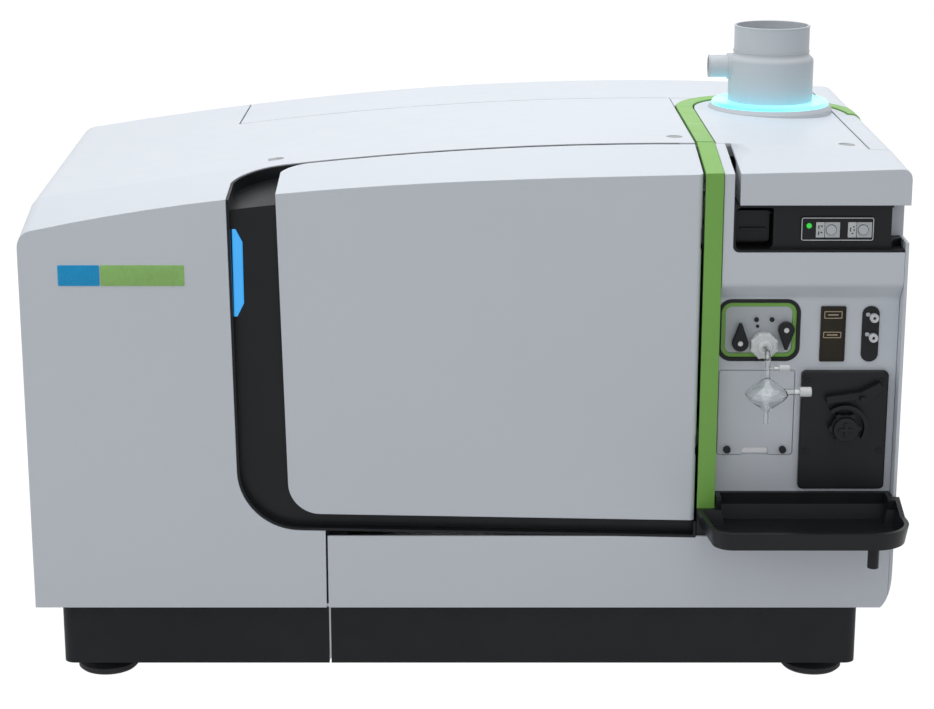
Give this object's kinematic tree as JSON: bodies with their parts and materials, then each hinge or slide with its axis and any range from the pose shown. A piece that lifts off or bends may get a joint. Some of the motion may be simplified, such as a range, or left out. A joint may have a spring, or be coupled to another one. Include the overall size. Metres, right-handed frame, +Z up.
{
  "type": "mass spectrometer",
  "caption": "Bench-top plasma mass spectrometer: arched white covers, side-hinged front door, green trim, exhaust chimney, torch mount, pump panel and drip tray.",
  "frame": {"origin": "on the floor, midway across the greatest width and depth", "axes": "+X to the operator's right, +Y from the front face to the back, +Z up"},
  "size_m": [1.114, 0.8, 0.799],
  "materials": {
    "cover_white": "satin, fine texture",
    "plinth_black": "fine matt texture",
    "trim_black": "satin",
    "trim_green": "satin",
    "light_blue": "lit diffuser",
    "light_cyan": "lit diffuser",
    "chimney_grey": "satin",
    "plate_grey": "satin",
    "panel_grey": "satin",
    "fitting_white": "satin",
    "clear_glass": "polished",
    "window_brown": "tinted, glossy",
    "foot_rubber": "matt",
    "frame_steel": "plated",
    "chamber_aluminium": "machined",
    "case_grey": "satin",
    "coil_copper": "polished copper",
    "cone_nickel": "turned nickel",
    "screw_steel": "blackened"
  },
  "bodies": {
    "housing": {"plinth_left": "plinth_black", "plinth_right": "plinth_black", "base_frame": "frame_steel", "levelling_feet": "foot_rubber", "bottom_pan": "frame_steel", "cover_hoops": "frame_steel", "left_cover": "cover_white", "rear_top_panel": "cover_white", "right_cover": "cover_white", "rear_panel": "cover_white", "lower_front_panel": "cover_white", "door_post": "trim_black", "hinge_arms": "frame_steel", "hinge_pins": "frame_steel", "door_bezel": "trim_black", "status_light": "light_blue", "green_strip": "trim_green", "green_arch": "trim_green", "hood": "cover_white", "chimney": "chimney_grey", "light_ring": "light_cyan", "cover_fasteners": "screw_steel", "right_fascia": "cover_white", "slot_bezel": "trim_black", "indicator_panel": "trim_black", "torch_window_ring": "trim_green", "torch_plate": "plate_grey", "torch_fitting": "fitting_white", "spray_chamber": "clear_glass", "nebuliser": "fitting_white", "access_panel": "cover_white", "window_panel": "window_brown", "gas_port_plate": "trim_black", "gas_ports": "fitting_white", "pump_plate": "trim_black", "panel_screws": "trim_black", "drip_tray": "trim_black", "torch_compartment": "frame_steel", "torch_tube": "clear_glass", "load_coil": "coil_copper", "interface_block": "chamber_aluminium", "sampler_cone": "cone_nickel", "vacuum_chamber": "chamber_aluminium", "chamber_lid": "chamber_aluminium", "quadrupole_rods": "cone_nickel", "turbo_pumps": "case_grey", "rf_generator": "case_grey", "power_supply": "case_grey", "fan_frame": "trim_black"},
    "door": {"door": "cover_white"},
    "latch_flap": {"latch_flap": "trim_black"},
    "button_left": {"button_left": "panel_grey"},
    "button_right": {"button_right": "panel_grey"},
    "torch_latch_left": {"torch_latch_left": "trim_black"},
    "torch_latch_right": {"torch_latch_right": "trim_black"},
    "thumbscrew_left": {"thumbscrew_left": "trim_black"},
    "thumbscrew_right": {"thumbscrew_right": "trim_black"},
    "pump_rotor": {"pump_rotor": "trim_black"},
    "pump_clamp": {"pump_clamp": "trim_black"},
    "fan_rotor": {"fan_rotor": "trim_black"}
  },
  "joints": [
    {"name": "door_hinge", "type": "hinge", "parent": "housing", "child": "door", "pos_m": [0.292, -0.292, 0.46], "axis": [0, 0, 1], "range_deg": [0, 85]},
    {"name": "flap_hinge", "type": "hinge", "parent": "housing", "child": "latch_flap", "pos_m": [0.363, -0.2715, 0.618], "axis": [1, 0, 0], "range_deg": [0, 22], "stiffness_Nm_per_rad": 0.05},
    {"name": "button_left_travel", "type": "slide", "parent": "housing", "child": "button_left", "axis": [0, 1, 0], "range_m": [0, 0.002], "stiffness_N_per_m": 200},
    {"name": "button_right_travel", "type": "slide", "parent": "housing", "child": "button_right", "axis": [0, 1, 0], "range_m": [0, 0.002], "stiffness_N_per_m": 200},
    {"name": "torch_latch_left_turn", "type": "hinge", "parent": "housing", "child": "torch_latch_left", "pos_m": [0.351, -0.284, 0.457], "axis": [0, -1, 0], "range_deg": [0, 90]},
    {"name": "torch_latch_right_turn", "type": "hinge", "parent": "housing", "child": "torch_latch_right", "pos_m": [0.407, -0.284, 0.474], "axis": [0, -1, 0], "range_deg": [0, 90]},
    {"name": "thumbscrew_left_turn", "type": "hinge", "parent": "housing", "child": "thumbscrew_left", "pos_m": [0.339, -0.283, 0.32], "axis": [0, -1, 0], "continuous": true},
    {"name": "thumbscrew_right_turn", "type": "hinge", "parent": "housing", "child": "thumbscrew_right", "pos_m": [0.408, -0.283, 0.32], "axis": [0, -1, 0], "continuous": true},
    {"name": "pump_rotor_turn", "type": "hinge", "parent": "housing", "child": "pump_rotor", "pos_m": [0.482, -0.29, 0.352], "axis": [0, -1, 0], "continuous": true},
    {"name": "pump_clamp_lift", "type": "hinge", "parent": "housing", "child": "pump_clamp", "pos_m": [0.502, -0.293, 0.39], "axis": [0, 1, 0], "range_deg": [0, 40]},
    {"name": "fan_turn", "type": "hinge", "parent": "housing", "child": "fan_rotor", "pos_m": [-0.33, 0.384, 0.33], "axis": [0, 1, 0], "continuous": true}
  ]
}
